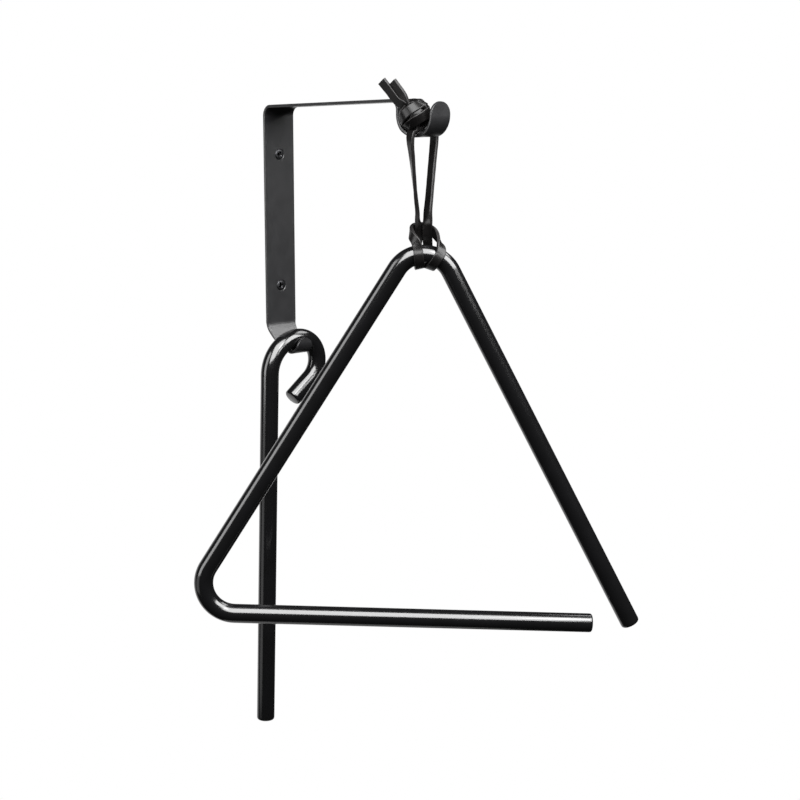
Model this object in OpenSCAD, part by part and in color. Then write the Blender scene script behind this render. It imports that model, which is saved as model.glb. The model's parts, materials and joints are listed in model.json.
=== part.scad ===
// Triangle dinner bell on a wall bracket.
// X runs along the wall, Y into the wall and Z up, in millimetres.
// The origin lies on the wall, midway between the two screws.

/* [Rod] */
// Diameter of the round bar that the triangle and the striker are bent from
rod_d = 13; // [8:0.1:16]
// Chamfer on the sawn ends of the bar
rod_chamfer = 1; // [0.2:0.1:2]

/* [Triangle] */
// Right side of the triangle between its sharp corners
tri_side = 312; // [200:1:420]
// Angle between the legs at the apex
tri_apex = 59.6; // [55:0.1:65]
// Angle between the legs at the closed lower corner
tri_corner = 60.3; // [55:0.1:65]
// Centreline radius of the bend at the apex
tri_bend_r = 20.6; // [18:0.1:30]
// Centreline radius of the bend at the closed lower corner
tri_corner_r = 21.6; // [16:0.1:40]
// How far the bottom leg stops short of the open corner
tri_bottom_short = 27.3; // [24:0.1:60]
// How far the right leg stops short of the open corner
tri_right_short = 0.3; // [0:0.1:20]
// Turn of the triangle's plane away from the wall, about the upright
tri_yaw = 38; // [0:1:60]
// Lean of the triangle in its own plane
tri_tilt = 2.6; // [0:0.1:8]
// Drop from the bottom of the upper hook to the triangle's sharp apex
tri_drop = 55.4; // [50:0.1:80]
// How far the apex hangs outside the middle of the upper hook
tri_out = 0.7; // [0:0.1:2]

/* [Strap] */
// Width of the flat bar
strap_w = 26.2; // [20:0.1:40]
// Thickness of the flat bar
strap_t = 2; // [1.5:0.1:4]
// Height of the arm's centreline where it leaves the wall
arm_z = 81.7; // [75:0.1:140]
// Rise of the arm towards its hook, in degrees
arm_rise = 2.5; // [0:0.1:10]
// Centreline radius of the bend between plate and arm
arm_bend_r = 7; // [3:0.5:12]
// Reach of the upper hook's middle from the wall
hook_reach = 158.2; // [120:0.1:220]
// Centreline radius of the upper hook's bowl
hook_r = 13.6; // [13:0.1:18]
// Centreline radius of the shoulder between arm and hook
shoulder_r = 6; // [4:0.5:8]
// Straight drop between the shoulder and the bowl
shoulder_drop = 2.7; // [0.5:0.1:6]
// Outward lean of the upper hook's tongue, in degrees
tongue_lean = 2; // [0:1:20]
// Straight length of the tongue above the bowl
tongue_len = 9; // [6:0.5:16]
// Width of the tongue where its round tip starts
tongue_w = 17; // [12:0.5:20]
// Width of the strap at the bottom of the upper hook's bowl
bowl_w = 20; // [19:0.5:25]
// How far the strap's taper towards the tongue reaches back from the bowl's middle
taper_len = 10; // [4:0.5:12]
// Height of the bend at the foot of the plate, below the origin
foot_z = 75.3; // [65:0.1:110]
// Angle at which the foot kicks away from the wall
foot_kick = 45; // [35:1:55]
// Centreline radius of the bend at the foot
foot_bend_r = 5; // [3:0.5:8]
// Straight length of the kick
kick_len = 17.8; // [12:0.1:24]
// Width of the lower hook's strap beside the striker's bar
neck_w = 23.6; // [20:0.1:26]
// Width of the strap at the bottom of the lower hook
cradle_w = 14; // [12:0.5:20]
// Gap round the striker in the lower hook
cradle_gap = 0.55; // [0.5:0.05:2]
// Straight length of the lower hook's lip above its bowl
lip_len = 3; // [0.5:0.5:8]

/* [Screws] */
// Distance between the two wall screws
screw_pitch = 94.6; // [70:0.1:110]
// Diameter of the screw's flat head
screw_head_d = 8.3; // [6.5:0.1:10]
// Diameter of the screw's shank
screw_d = 4.2; // [3:0.1:5]
// Length of the screw behind the strap
screw_len = 15; // [10:0.5:40]
// Angle across the countersunk head
screw_angle = 82; // [80:1:90]
// Gap between the screw's head and its seat
screw_gap = 0.05; // [0.02:0.01:0.2]

/* [Striker] */
// Length of the straight shaft below the crook
shaft_len = 258.8; // [150:0.1:340]
// Centreline radius of the crook next to the shaft
crook_r = 25.6; // [24:0.1:34]
// Centreline radius of the crook's outer half
crook_end_r = 17.4; // [17:0.1:24]
// Turn of the crook's outer half, in degrees
crook_turn = 140; // [110:1:150]
// Straight end of the crook
crook_tail = 21.4; // [12:0.1:30]
// Lean of the hanging striker, in degrees
striker_tilt = 1.9; // [0:0.1:4]
// How far the crook's top stands to the right of the strap's middle
crook_off = 0.7; // [0:0.1:3]
// Gap under the crook where it crosses the edges of the lower hook
crook_seat = 0.8; // [0.7:0.1:2]

/* [Lace] */
// Width of the flat leather lace
lace_w = 6.4; // [4:0.1:7]
// Thickness of the lace
lace_t = 2.4; // [1.5:0.1:2.8]
// Gap left between the lace and what it lies on
lace_gap = 0.5; // [0.3:0.05:1]

/* [Hidden] */
$fn = 64;
eps = 0.01;

// Swell of a bend, and how far a straight reaches into it
swell = 0.06;
rod_lap = 0.6;
strap_lap = 0.3;

rod_r = rod_d / 2;
coat_black = "#232325";
leather_black = "#1c1a19";

// Strap: the bowl of each hook, as [distance from the wall, height]
half_t = strap_t / 2;
arm_start = [half_t + arm_bend_r * (1 - sin(arm_rise)), arm_z];
shoulder_turn = 90 + arm_rise;
shoulder_run = shoulder_r * (1 + sin(arm_rise));
hook_wall_leg = hook_reach - hook_r;
arm_len = (hook_wall_leg - shoulder_run - arm_start[0]) / cos(arm_rise);
shoulder_z = arm_start[1] + arm_len * sin(arm_rise) - shoulder_r * cos(arm_rise);
hook_mid = [hook_reach, shoulder_z - shoulder_drop];
hook_bottom = hook_mid[1] - hook_r - half_t;
plate_top = arm_z - arm_bend_r * cos(arm_rise);
tongue_turn = 180 - tongue_lean;
tongue_foot = hook_mid + hook_r * [cos(tongue_lean), -sin(tongue_lean)];

cradle_r = rod_r + cradle_gap + half_t;
foot_end = [half_t + foot_bend_r * (1 - cos(foot_kick)), -foot_z - foot_bend_r * sin(foot_kick)];
kick_dir = [sin(foot_kick), -cos(foot_kick)];
kick_end = foot_end + kick_len * kick_dir;
cradle_mid = kick_end + cradle_r * [cos(foot_kick), sin(foot_kick)];
cradle_turn = 180 - foot_kick;

// Draws a flat bar along a run of straights [length] and bends [radius, turn];
// a positive turn is to the left. The bar starts at the origin, along +X.
// Bends swell by a hair over the straights, which reach a little way into them.
module strap_run(run, i = 0) {
  if (i < len(run)) {
    step = run[i];
    if (len(step) == 1) {
      far = step[0] + (i < len(run) - 1 ? strap_lap : 0);
      translate([-strap_lap, -half_t, -strap_w / 2]) cube([far + strap_lap, strap_t, strap_w]);
      translate([step[0], 0, 0]) strap_run(run, i + 1);
    } else {
      side = sign(step[1]);
      mirror([0, side < 0 ? 1 : 0, 0]) translate([0, step[0], 0]) rotate([0, 0, -90])
        rotate_extrude(angle = abs(step[1])) translate([step[0] - half_t - swell, -strap_w / 2 - swell])
          square([strap_t + 2 * swell, strap_w + 2 * swell]);
      translate([0, side * step[0], 0]) rotate([0, 0, step[1]])
        translate([0, -side * step[0], 0]) strap_run(run, i + 1);
    }
  }
}

// Draws a round bar along a run of straights and bends, in the same way.
module rod_run(run, i = 0) {
  if (i < len(run)) {
    step = run[i];
    if (len(step) == 1) {
      near = i > 0 ? -rod_lap : 0;
      far = step[0] + (i < len(run) - 1 ? rod_lap : 0);
      translate([near, 0, 0]) rotate([0, 90, 0]) cylinder(h = far - near, r = rod_r);
      translate([step[0], 0, 0]) rod_run(run, i + 1);
    } else {
      side = sign(step[1]);
      mirror([0, side < 0 ? 1 : 0, 0]) translate([0, step[0], 0]) rotate([0, 0, -90])
        rotate_extrude(angle = abs(step[1])) translate([step[0], 0]) circle(r = rod_r + swell);
      translate([0, side * step[0], 0]) rotate([0, 0, step[1]])
        translate([0, -side * step[0], 0]) rod_run(run, i + 1);
    }
  } else {
    rotate([0, 90, 0]) cylinder(h = rod_chamfer, r1 = rod_r, r2 = rod_r - rod_chamfer);
  }
}

// A bent rod with both its ends chamfered
module bent_rod(run) {
  rod_run(run);
  rotate([0, -90, 0]) cylinder(h = rod_chamfer, r1 = rod_r, r2 = rod_r - rod_chamfer);
}

// Lays a side view, drawn as distance from the wall and height, across the strap
module from_side() {
  rotate([90, 0, -90]) children();
}

// Extrudes a front view, drawn as X and Z, from one distance from the wall to another
module from_front(near, far) {
  translate([0, -near, 0]) rotate([90, 0, 0]) linear_extrude(far - near) children();
}

// What is cut off beside the tongue so that it tapers to a round tip
module tongue_trim() {
  tip_r = tongue_w / 2;
  tip_z = tongue_foot[1] + tongue_len * cos(tongue_lean);
  root_z = hook_bottom + hook_r / 3;
  from_front(hook_reach, hook_reach + 2 * hook_r) difference() {
    translate([-strap_w, hook_bottom - 1]) square([2 * strap_w, tip_z + strap_w - hook_bottom]);
    translate([0, tip_z - tip_r]) circle(r = tip_r);
    polygon([[-bowl_w / 2, hook_bottom - 2], [bowl_w / 2, hook_bottom - 2], [bowl_w / 2, hook_bottom],
             [tip_r, root_z], [tip_r, tip_z - tip_r], [-tip_r, tip_z - tip_r], [-tip_r, root_z],
             [-bowl_w / 2, hook_bottom]]);
  }
  for (side = [0, 1])
    mirror([side, 0, 0]) translate([0, -hook_reach, hook_bottom - 1])
      linear_extrude(hook_r + half_t + 1)
        polygon([[bowl_w / 2, -eps], [strap_w, -eps], [strap_w, taper_len], [strap_w / 2 + eps, taper_len]]);
}

// What is cut off beside the kick, the bowl and the lip of the lower hook
module cradle_trim() {
  tip_r = cradle_w / 2;
  bowl_z = cradle_mid[1] - cradle_r - half_t;
  tip_z = cradle_mid[1] + lip_len;
  root_z = -foot_z - half_t / 2;
  neck_z = cradle_mid[1] - rod_r / 2;
  from_front(half_t + eps, cradle_mid[0]) difference() {
    translate([-strap_w, bowl_z - 1]) square([2 * strap_w, root_z - bowl_z + 1]);
    for (side = [-1, 1])
      polygon([[0, bowl_z - 2], [side * tip_r, bowl_z - 2], [side * tip_r, neck_z],
               [side * neck_w / 2, cradle_mid[1]], [side * strap_w / 2, root_z],
               [side * strap_w / 2, root_z + 1], [0, root_z + 1]]);
  }
  from_front(cradle_mid[0] - eps, cradle_mid[0] + 2 * cradle_r) difference() {
    translate([-strap_w, bowl_z - 1]) square([2 * strap_w, tip_z + strap_w - bowl_z]);
    translate([0, tip_z - tip_r]) circle(r = tip_r);
    translate([-tip_r, bowl_z - 2]) square([cradle_w, tip_z - tip_r - bowl_z + 2]);
  }
}

module countersink(d) {
  r = d / 2;
  depth = strap_t + 1;
  translate([0, -strap_t, 0]) rotate([-90, 0, 0])
    cylinder(h = depth, r1 = r, r2 = r - depth * tan(screw_angle / 2));
  translate([0, -strap_t, 0]) rotate([90, 0, 0]) cylinder(h = 1, r = r);
}

// One strip of flat bar: plate, arm and upper hook, foot and lower hook
module wall_bracket() {
  color(coat_black) difference() {
    from_side() {
      translate([half_t, -foot_z]) rotate([0, 0, 90])
        strap_run([[plate_top + foot_z], [arm_bend_r, arm_rise - 90], [arm_len],
                   [shoulder_r, -shoulder_turn], [shoulder_drop], [hook_r, tongue_turn], [tongue_len]]);
      translate([half_t, -foot_z]) rotate([0, 0, -90])
        strap_run([[foot_bend_r, foot_kick], [kick_len], [cradle_r, cradle_turn], [lip_len]]);
    }
    tongue_trim();
    cradle_trim();
    for (side = [-1, 1])
      translate([0, 0, side * screw_pitch / 2]) countersink(screw_head_d + 2 * screw_gap);
  }
}

// A countersunk wood screw, whose cross recess stands at the given turn
module wood_screw(recess_turn) {
  head_r = screw_head_d / 2;
  shank_r = screw_d / 2;
  head_h = (head_r - shank_r) / tan(screw_angle / 2);
  recess_w = 1.1;
  recess_l = 4.6;
  recess_h = 1.5;
  point_h = 5;
  translate([0, -strap_t, 0]) rotate([-90, 0, 0]) difference() {
    union() {
      cylinder(h = head_h, r1 = head_r, r2 = shank_r);
      cylinder(h = strap_t + screw_len - point_h, r = shank_r);
      translate([0, 0, strap_t + screw_len - point_h])
        cylinder(h = point_h, r1 = shank_r, r2 = 0.3);
    }
    for (turn = [0, 90])
      rotate([0, 0, recess_turn + turn]) translate([-recess_l / 2, -recess_w / 2, -eps])
        cube([recess_l, recess_w, recess_h]);
  }
}

module wall_screw_upper() {
  color(coat_black) translate([0, 0, screw_pitch / 2]) wood_screw(20);
}

module wall_screw_lower() {
  color(coat_black) translate([0, 0, -screw_pitch / 2]) wood_screw(65);
}

// Triangle: its sharp apex hangs below the middle of the upper hook
apex = [0, -hook_reach - tri_out, hook_bottom - tri_drop];
half_apex = tri_apex / 2;
tri_left = tri_side * sin(tri_apex + tri_corner) / sin(tri_corner);
tri_bottom = tri_side * sin(tri_apex) / sin(tri_corner);
bend_run = tri_bend_r / tan(half_apex);
corner_run = tri_corner_r / tan(tri_corner / 2);
bend_drop = tri_bend_r / sin(half_apex);
// Middle of the apex bend, which the triangle rocks about in its hitch
bend_mid = apex + [-bend_drop * sin(tri_tilt) * cos(tri_yaw),
                   bend_drop * sin(tri_tilt) * sin(tri_yaw), -bend_drop * cos(tri_tilt)];

module triangle() {
  right_leg = tri_side - tri_right_short - rod_chamfer;
  run = [[right_leg - bend_run], [tri_bend_r, 180 - tri_apex], [tri_left - bend_run - corner_run],
         [tri_corner_r, 180 - tri_corner], [tri_bottom - corner_run - tri_bottom_short - rod_chamfer]];
  color(coat_black) translate(apex) rotate([90, 0, -tri_yaw]) rotate([0, 0, -tri_tilt])
    translate(right_leg * [sin(half_apex), -cos(half_apex)]) rotate([0, 0, 90 + half_apex]) bent_rod(run);
}

// Striker: its crook lies over the lower hook, which it swings in. The crook's top stands
// so high that both of its sides clear the edges of the hook.
function edge_rise(run, r) =
  let (rise = sqrt(r * r - run * run)) r - rise + rod_r * (r / rise - 1);
crook_left = cradle_w / 2 + crook_off;
crook_right = cradle_w / 2 - crook_off;
crook_lift = max(edge_rise(crook_left, crook_r) - crook_left * sin(striker_tilt),
                 edge_rise(crook_right, crook_end_r) + crook_right * sin(striker_tilt))
  + crook_seat - cradle_gap;
crook_top = [crook_off, -cradle_mid[0], cradle_mid[1] + crook_lift];

module striker() {
  run = [[shaft_len - rod_chamfer], [crook_r, -90], [0], [crook_end_r, -crook_turn],
         [crook_tail - rod_chamfer]];
  color(coat_black) translate(crook_top) rotate([90, 0, 0]) rotate([0, 0, -striker_tilt])
    translate([-crook_r, -crook_r - shaft_len + rod_chamfer]) rotate([0, 0, 90]) bent_rod(run);
}

// Lace: a flat strip swept along a route. Each stop on a route is
// [point, direction that the flat side faces].
function unit(v) = v / norm(v);
function square_to(v, axis) = unit(v - (v * axis) * axis);
function along(route, i) =
  unit(route[min(i + 1, len(route) - 1)][0] - route[max(i - 1, 0)][0]);
function strip_section(half_w, half_h) =
  let (cut = half_h * 0.6)
  [[half_w, half_h - cut], [half_w - cut, half_h], [cut - half_w, half_h], [-half_w, half_h - cut],
   [-half_w, cut - half_h], [cut - half_w, -half_h], [half_w - cut, -half_h], [half_w, cut - half_h]];
function strip_ring(route, i, section) =
  let (heading = along(route, i), face = square_to(route[i][1], heading), across = cross(face, heading))
  [for (p = section) route[i][0] + p[0] * across + p[1] * face];

// Closes a row of rings into one solid; a looped row joins its last ring to its first
module skin(rings, looped = false) {
  sides = len(rings[0]);
  rows = len(rings);
  points = [for (ring = rings) each ring];
  walls = [for (i = [0 : rows - (looped ? 1 : 2)], k = [0 : sides - 1])
    let (a = i * sides, b = ((i + 1) % rows) * sides, m = (k + 1) % sides)
    each [[a + k, b + k, b + m], [a + k, b + m, a + m]]];
  ends = looped ? [] : [for (k = [1 : sides - 2])
    each [[0, k, k + 1], [(rows - 1) * sides, (rows - 1) * sides + k + 1, (rows - 1) * sides + k]]];
  polyhedron(points = points, faces = concat(walls, ends));
}

module lace(route) {
  section = strip_section(lace_w / 2, lace_t / 2);
  color(leather_black) skin([for (i = [0 : len(route) - 1]) strip_ring(route, i, section)]);
}

function facing(turn) = [cos(turn), sin(turn), 0];
function turned_back(list) = [for (i = [len(list) - 1 : -1 : 0]) list[i]];

// The knot lies in the upper hook's bowl: a trefoil wound round a ring.
bowl = [0, -hook_mid[0], hook_mid[1]];
bowl_in = hook_r - half_t;
knot_mid = [-11.5, 0.8, 1.6];
knot_out = bowl_in - 3;
knot_loop_r = 0.257 * knot_out;
knot_cord_r = 0.2 * knot_out;
knot_stretch = 1.6;
knot_sides = 8;
knot_steps = 72;
function knot_point(t) =
  let (reach = knot_loop_r * (2 + cos(3 * t)))
  [knot_stretch * knot_loop_r * sin(3 * t), reach * cos(2 * t), reach * sin(2 * t)];
function knot_ring(t) =
  let (heading = unit(knot_point(t + 1) - knot_point(t - 1)),
       face = square_to([1, 0, 0], heading), across = cross(face, heading))
  [for (k = [0 : knot_sides - 1])
    let (turn = k * 360 / knot_sides)
    knot_point(t) + knot_cord_r * (cos(turn) * across + sin(turn) * face)];

// The two tails leave the knot on its left, clear of the strap's edge.
tail_face = [-0.92, -0.08, -0.39];
tail_routes = [[[-14.5, 3, 5.2], [-17.1, 7.5, 8.3], [-20.2, 12, 14.8], [-23.4, 16.4, 21.3]],
               [[-14.6, 2.6, 6.2], [-16.4, 3.9, 11.8], [-18.4, 6.9, 16.7], [-20.3, 9.9, 21.6]]];

// Overhand knot of both ends, with the two short tails
module lace_knot() {
  color(leather_black) translate(bowl + knot_mid)
    skin([for (i = [0 : knot_steps - 1]) knot_ring(i * 360 / knot_steps)], looped = true);
  for (route = tail_routes) lace([for (stop = route) [bowl + stop, tail_face]]);
}

// The hitch is drawn about the middle of the apex bend: across the triangle, towards the
// viewer and up. Each wrap passes behind the rod, under it and up in front.
wrap_r = rod_r + lace_gap + lace_t / 2;
function wrap_stop(bend, turn) =
  let (out = [sin(bend), 0, cos(bend)], face = out * cos(turn) + [0, 1, 0] * sin(turn))
  [tri_bend_r * out + wrap_r * face, face];
wrap_steps = 12;
wrap_start = -65;
wrap_sweep = 230;
function wrap(back, under, front) =
  [for (i = [0 : wrap_steps])
    let (share = i / wrap_steps)
    wrap_stop(lookup(share, [[0, back], [0.5, under], [1, front]]), wrap_start - wrap_sweep * share)];
// Stops between the wraps, which stand on the top of the rod
rod_top = [0, 0, tri_bend_r + rod_r];
function on_rod(route) = [for (stop = route) [rod_top + stop[0], stop[1]]];
stub_left = [-2.8, -2.5, 16.2];
stub_right = [2.5, -2.3, 16.2];
down_left = [[stub_left, [-0.87, -0.5, 0]], [[-2.7, -2.7, 13], [-0.8, -0.6, 0]],
             [[-2.6, -3.6, 10], [-0.6, -0.8, 0]]];
down_right = [[stub_right, [0, -1, 0]], [[2.6, -2.3, 13], [0, -1, 0]], [[2.8, -2.8, 10], [0, -1, 0]]];
bar = [[[-5.2, 6.3, 2.4], [-0.3, 0.95, 0]], [[-7.6, 2.6, 6.2], [-0.8, 0.6, 0]],
       [[-7.3, -2.8, 9], [-1, -0.3, 0]], [[-4.4, -7.6, 10.6], [-0.5, -0.85, 0]], [[0, -9, 10.8], [0, -1, 0]],
       [[3.4, -8.2, 10], [0, -1, 0]], [[7, -5, 7.8], [0.7, -0.7, 0]], [[9.8, 0, 3.8], [1, 0, 0]],
       [[11.4, 4.8, -1], [0.6, 0.8, 0.2]]];
hitch_route = concat(on_rod(down_left), wrap(-9, -18, -9), on_rod(bar),
                     turned_back(concat(on_rod(down_right), wrap(9, 26, 27))));

// Girth hitch round the apex of the triangle
module lace_hitch() {
  translate(bend_mid) rotate([0, 0, -tri_yaw]) mirror([0, 1, 0]) lace(hitch_route);
}

// Strands run from the knot over the strap's edges and down to the hitch.
strand_gap = 0.35;
function strand_end(stub) =
  let (at = rod_top + stub)
  bend_mid + [at[0] * cos(tri_yaw) - at[1] * sin(tri_yaw), -at[0] * sin(tri_yaw) - at[1] * cos(tri_yaw),
              at[2] + strand_gap];
// Stops on the way down, as shares of the way and the turns that the flat side faces
strand_shares = [0, 0.2, 0.4, 0.6, 0.8];
function strand_fall(top, stub, turns) =
  let (end = strand_end(stub))
  concat([for (i = [0 : len(strand_shares) - 1]) [top + strand_shares[i] * (end - top), facing(turns[i])]],
         [[end + [0, 0, 3.5], facing(turns[5])], [end, facing(turns[5])]]);
edge_x = strap_w / 2;
bowl_out = hook_r + half_t;
lay_r = bowl_in - 2.3;
lay_turn = 40;
function lay(x) = bowl + [x, lay_r * sin(lay_turn), -lay_r * cos(lay_turn)];
lay_face = [0, -sin(lay_turn), cos(lay_turn)];
left_top = bowl + [-edge_x - 0.5, -0.5, -bowl_out - 2.4];
right_top = bowl + [edge_x + 1.1, 7.2, -bowl_out - 2.4];
left_route = concat(
  [[bowl + [-10.5, -2, -5], [-1, 0, -0.2]], [bowl + [-10.4, -1, -9.6], [-0.9, 0, 0.3]],
   [bowl + [0.7 - edge_x, -0.4, 1.6 - bowl_in], [-0.7, 0, 0.7]],
   [bowl + [-edge_x - 0.4, -0.5, -1 - bowl_in], facing(180)]],
  strand_fall(left_top, stub_left, [177, 150, 135, 125, 117, 110]));
right_route = concat(
  [[bowl + [-7.6, 3.3, -2.7], lay_face], [bowl + [-4, 5.5, -6], lay_face], [lay(0), lay_face],
   [lay(6), lay_face], [lay(edge_x - 1.7), lay_face],
   [bowl + [edge_x + 1.4, 6.9, 3.9 - bowl_in], [0.7, -0.4, 0.6]],
   [bowl + [edge_x + 1.5, 7.4, -bowl_in], facing(0)]],
  strand_fall(right_top, stub_right, [3, 18, 32, 42, 48, 50]));

module lace_strand_left() {
  lace(left_route);
}

module lace_strand_right() {
  lace(right_route);
}

wall_bracket();
wall_screw_upper();
wall_screw_lower();
triangle();
striker();
lace_knot();
lace_strand_left();
lace_strand_right();
lace_hitch();
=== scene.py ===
import json
import math

import bmesh
import bpy
from mathutils import Matrix, Quaternion, Vector, noise


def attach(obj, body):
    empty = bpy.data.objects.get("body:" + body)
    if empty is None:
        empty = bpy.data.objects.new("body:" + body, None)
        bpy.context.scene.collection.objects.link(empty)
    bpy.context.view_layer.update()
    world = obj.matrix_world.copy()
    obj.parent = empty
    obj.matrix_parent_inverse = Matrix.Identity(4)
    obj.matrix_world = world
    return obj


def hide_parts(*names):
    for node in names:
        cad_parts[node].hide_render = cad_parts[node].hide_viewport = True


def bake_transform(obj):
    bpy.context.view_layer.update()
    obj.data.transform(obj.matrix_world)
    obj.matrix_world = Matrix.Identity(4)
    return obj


# A black triangle dinner bell: coated round bar hung by a leather lace from a flat-bar bracket.
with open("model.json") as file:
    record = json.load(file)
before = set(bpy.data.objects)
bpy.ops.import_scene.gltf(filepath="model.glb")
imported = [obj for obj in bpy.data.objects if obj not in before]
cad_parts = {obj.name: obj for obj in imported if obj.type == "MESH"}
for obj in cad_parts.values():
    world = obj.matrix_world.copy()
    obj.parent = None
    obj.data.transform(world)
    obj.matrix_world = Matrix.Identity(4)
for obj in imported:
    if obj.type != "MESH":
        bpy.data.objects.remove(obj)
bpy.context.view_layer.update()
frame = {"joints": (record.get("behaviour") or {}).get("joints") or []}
scene = bpy.context.scene
jointAt = {joint["name"]: Vector(joint["pos_m"]) for joint in frame["joints"]}
mm = 0.001


def hexColor(text):
    # sRGB hex to the linear colour that shaders take
    parts = [int(text[i:i + 2], 16) / 255 for i in (1, 3, 5)]
    return tuple(c / 12.92 if c <= 0.04045 else ((c + 0.055) / 1.055) ** 2.4 for c in parts) + (1.0,)


def addNode(tree, kind, values=None, links=None, **settings):
    # Adds a node to any tree, sets it up and joins it to what feeds it
    node = tree.nodes.new(kind)
    for key, value in settings.items():
        setattr(node, key, value)
    for key, value in (values or {}).items():
        node.inputs[key].default_value = value
    for key, source in (links or {}).items():
        tree.links.new(source, node.inputs[key])
    return node


# Finishes

def newFinish(name):
    finish = bpy.data.materials.new(name)
    finish.use_nodes = True
    tree = finish.node_tree
    return finish, tree, tree.nodes["Principled BSDF"]


def powderCoat(name, look):
    # Steel with a baked powder coat: dry pigment that melts to a skin, so it gives a deep black,
    # a faint orange peel and a sheen that is cloudy from place to place
    finish, tree, shader = newFinish(name)
    place = addNode(tree, "ShaderNodeTexCoord").outputs["Object"]
    cloud = addNode(tree, "ShaderNodeTexNoise", {"Scale": 1 / look["cloudSize"], "Detail": 3.0},
                    {"Vector": place})
    tone = addNode(tree, "ShaderNodeMix", {"A": hexColor(look["dark"]), "B": hexColor(look["light"])},
                   {"Factor": cloud.outputs["Fac"]}, data_type="RGBA")
    sheen = addNode(tree, "ShaderNodeMapRange",
                    {"To Min": look["roughness"][0], "To Max": look["roughness"][1]},
                    {"Value": cloud.outputs["Fac"]})
    peel = addNode(tree, "ShaderNodeTexNoise", {"Scale": 1 / look["peelSize"], "Detail": 2.0},
                   {"Vector": place})
    relief = addNode(tree, "ShaderNodeBump", {"Strength": look["peel"], "Distance": look["peelDepth"]},
                     {"Height": peel.outputs["Fac"]})
    tree.links.new(tone.outputs[2], shader.inputs["Base Color"])
    tree.links.new(sheen.outputs["Result"], shader.inputs["Roughness"])
    tree.links.new(relief.outputs["Normal"], shader.inputs["Normal"])
    return finish


def blackOxide(name, look):
    # Screw steel blackened in a hot salt bath: dark oxide on bare metal, dull with worn brighter spots
    finish, tree, shader = newFinish(name)
    place = addNode(tree, "ShaderNodeTexCoord").outputs["Object"]
    shader.inputs["Metallic"].default_value = 1.0
    wear = addNode(tree, "ShaderNodeTexNoise", {"Scale": 1 / look["wearSize"], "Detail": 4.0},
                   {"Vector": place})
    tone = addNode(tree, "ShaderNodeMix", {"A": hexColor(look["oxide"]), "B": hexColor(look["worn"])},
                   {"Factor": wear.outputs["Fac"]}, data_type="RGBA")
    sheen = addNode(tree, "ShaderNodeMapRange",
                    {"To Min": look["roughness"][0], "To Max": look["roughness"][1]},
                    {"Value": wear.outputs["Fac"]})
    tree.links.new(tone.outputs[2], shader.inputs["Base Color"])
    tree.links.new(sheen.outputs["Result"], shader.inputs["Roughness"])
    return finish


def laceLeather(name, look):
    # Tanned cowhide dyed through and cut into lace: a waxed grain side with pores and soft creases,
    # and drier, greyer fibres where the knife went
    finish, tree, shader = newFinish(name)
    place = addNode(tree, "ShaderNodeTexCoord").outputs["Object"]
    edge = addNode(tree, "ShaderNodeAttribute", attribute_name="cutEdge")
    crease = addNode(tree, "ShaderNodeTexNoise",
                     {"Scale": 1 / look["creaseSize"], "Detail": 5.0, "Distortion": 0.6}, {"Vector": place})
    pores = addNode(tree, "ShaderNodeTexVoronoi", {"Scale": 1 / look["poreSize"]}, {"Vector": place})
    grain = addNode(tree, "ShaderNodeMix", {"A": hexColor(look["dark"]), "B": hexColor(look["light"])},
                    {"Factor": crease.outputs["Fac"]}, data_type="RGBA")
    tone = addNode(tree, "ShaderNodeMix", {"B": hexColor(look["cut"])},
                   {"Factor": edge.outputs["Fac"], "A": grain.outputs[2]}, data_type="RGBA")
    wax = addNode(tree, "ShaderNodeMapRange",
                  {"To Min": look["roughness"][0], "To Max": look["roughness"][1]},
                  {"Value": crease.outputs["Fac"]})
    dry = addNode(tree, "ShaderNodeMath", {1: look["cutDryness"]}, {0: edge.outputs["Fac"]},
                  operation="MULTIPLY")
    sheen = addNode(tree, "ShaderNodeMath", links={0: wax.outputs["Result"], 1: dry.outputs[0]},
                    operation="ADD")
    fold = addNode(tree, "ShaderNodeBump", {"Strength": look["crease"], "Distance": look["creaseDepth"]},
                   {"Height": crease.outputs["Fac"]})
    relief = addNode(tree, "ShaderNodeBump", {"Strength": look["pore"], "Distance": look["poreDepth"]},
                     {"Height": pores.outputs["Distance"], "Normal": fold.outputs["Normal"]})
    shader.inputs["Specular IOR Level"].default_value = look["gloss"]
    tree.links.new(tone.outputs[2], shader.inputs["Base Color"])
    tree.links.new(sheen.outputs[0], shader.inputs["Roughness"])
    tree.links.new(relief.outputs["Normal"], shader.inputs["Normal"])
    return finish


strapCoat = powderCoat("strapCoat", {
    "dark": "#0c0c0d", "light": "#131314", "roughness": (0.33, 0.43), "cloudSize": 9 * mm,
    "peelSize": 0.8 * mm, "peel": 0.2, "peelDepth": 0.02 * mm})
rodCoat = powderCoat("rodCoat", {
    "dark": "#050505", "light": "#080809", "roughness": (0.13, 0.19), "cloudSize": 14 * mm,
    "peelSize": 2.4 * mm, "peel": 0.06, "peelDepth": 0.02 * mm})
screwOxide = blackOxide("screwOxide", {
    "oxide": "#1a1a1b", "worn": "#444446", "wearSize": 1.4 * mm, "roughness": (0.5, 0.32)})
leather = laceLeather("leather", {
    "dark": "#040404", "light": "#0b0a0a", "cut": "#0e0d0d", "roughness": (0.22, 0.34), "cutDryness": 0.1,
    "gloss": 0.18, "creaseSize": 2.6 * mm, "crease": 0.5, "creaseDepth": 0.12 * mm,
    "poreSize": 0.55 * mm, "pore": 0.35, "poreDepth": 0.05 * mm})
print("finishes made")


# Meshes

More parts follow.
